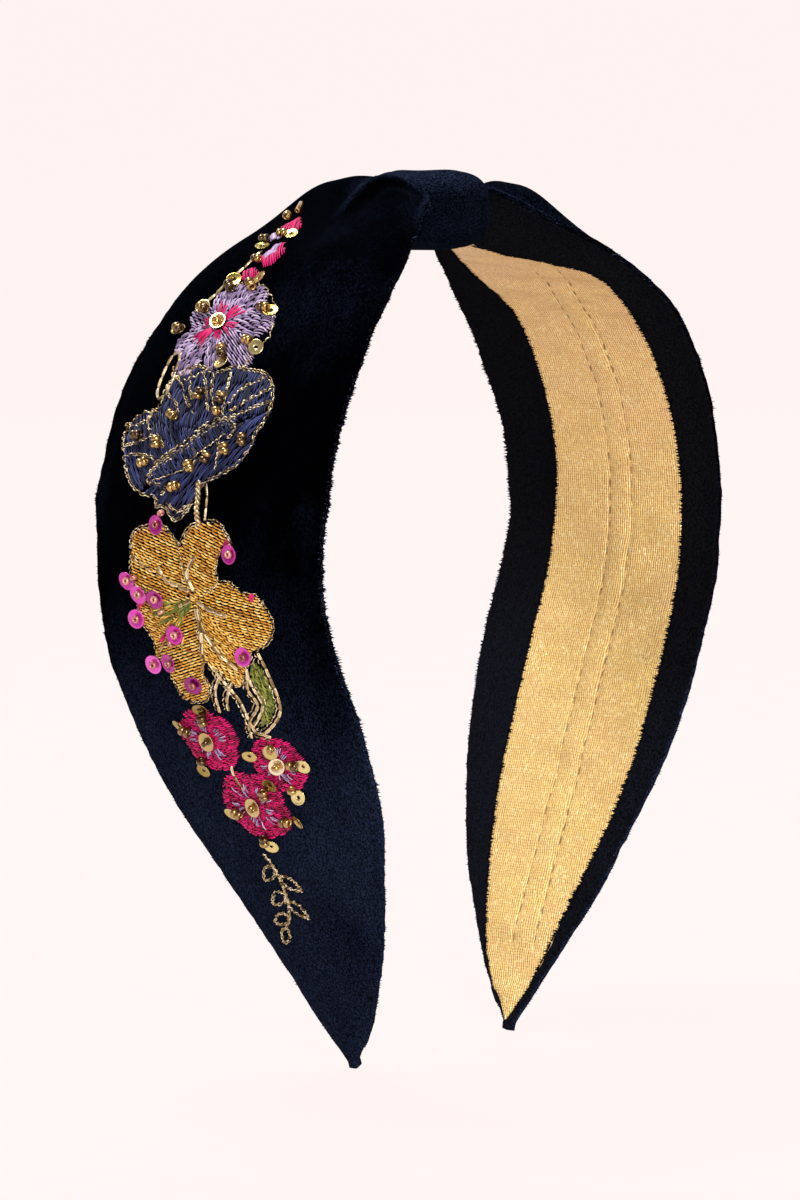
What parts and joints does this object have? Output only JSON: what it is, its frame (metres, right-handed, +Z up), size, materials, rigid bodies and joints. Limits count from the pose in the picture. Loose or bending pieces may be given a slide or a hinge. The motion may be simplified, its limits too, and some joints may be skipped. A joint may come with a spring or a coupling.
{
  "type": "knotted headband",
  "caption": "Sprung arch headband in navy velvet with a central knot, gold lining and one arm embroidered with flowers, sequins and beads.",
  "frame": {"origin": "underside of the knot, where it rests on the crown of the head, mid way between the arms", "axes": "+Z up out of the head, X from ear to ear with the embroidered arm at -X, -Y towards the face"},
  "size_m": [0.124, 0.0469, 0.1502],
  "materials": {
    "velvet": "navy cotton velvet with a short upright pile and a blue sheen at its edges",
    "gold_lining": "soft gold metallic jersey, finely ribbed, glittery",
    "interlining": "soft grey needled wadding",
    "spring_steel": "blued spring steel strip",
    "cap_rubber": "dipped black rubber end",
    "gold_thread": "fine gold sewing thread",
    "metallic_cord": "antique gold metallic embroidery thread, twisted",
    "lilac_thread": "lilac rayon satin stitch",
    "magenta_thread": "magenta rayon satin stitch",
    "navy_thread": "navy rayon satin stitch",
    "yellow_thread": "yellow-orange rayon satin stitch",
    "green_thread": "olive green rayon satin stitch",
    "gold_sequin": "flat metallised gold sequin",
    "cup_sequin": "cupped pale gold sequin",
    "pink_sequin": "metallised pink sequin",
    "gold_bead": "bronze-gold lined glass seed bead",
    "rose_bead": "rose gold lined glass seed bead"
  },
  "bodies": {
    "crown": {"spring_strip": "spring_steel", "knot_wrap": "velvet", "knot_gather": "velvet"},
    "left_arm": {"left_velvet": "velvet", "left_interlining": "interlining", "left_lining": "gold_lining", "left_casing_stitches": "gold_thread", "left_spring_cap": "cap_rubber", "bud_trail": "magenta_thread", "bud_trail_stem": "metallic_cord", "lilac_flower": "lilac_thread", "lilac_flower_heart": "magenta_thread", "leaf_loop": "metallic_cord", "navy_bloom": "navy_thread", "navy_bloom_band": "navy_thread", "bloom_stem": "metallic_cord", "lily": "yellow_thread", "lily_throat": "green_thread", "lily_veins": "metallic_cord", "green_leaf": "green_thread", "leaf_cord": "metallic_cord", "magenta_flowers": "magenta_thread", "magenta_flower_hearts": "lilac_thread", "gold_sprig": "metallic_cord", "gold_sequins": "gold_sequin", "cup_sequins": "cup_sequin", "pink_sequins": "pink_sequin", "gold_seed_beads": "gold_bead", "rose_seed_beads": "rose_bead", "bugle_beads": "gold_bead"},
    "right_arm": {"right_velvet": "velvet", "right_interlining": "interlining", "right_lining": "gold_lining", "right_casing_stitches": "gold_thread", "right_spring_cap": "cap_rubber"}
  },
  "joints": [
    {"name": "left_arm_flex", "type": "hinge", "parent": "crown", "child": "left_arm", "pos_m": [-0.0085, 0, 0.0134], "axis": [0, 1, 0], "range_deg": [0, 12], "stiffness_Nm_per_rad": 2, "deforming": ["spring_strip"]},
    {"name": "right_arm_flex", "type": "hinge", "parent": "crown", "child": "right_arm", "pos_m": [0.0085, 0, 0.0134], "axis": [0, -1, 0], "range_deg": [0, 12], "stiffness_Nm_per_rad": 2, "deforming": ["spring_strip"]}
  ]
}
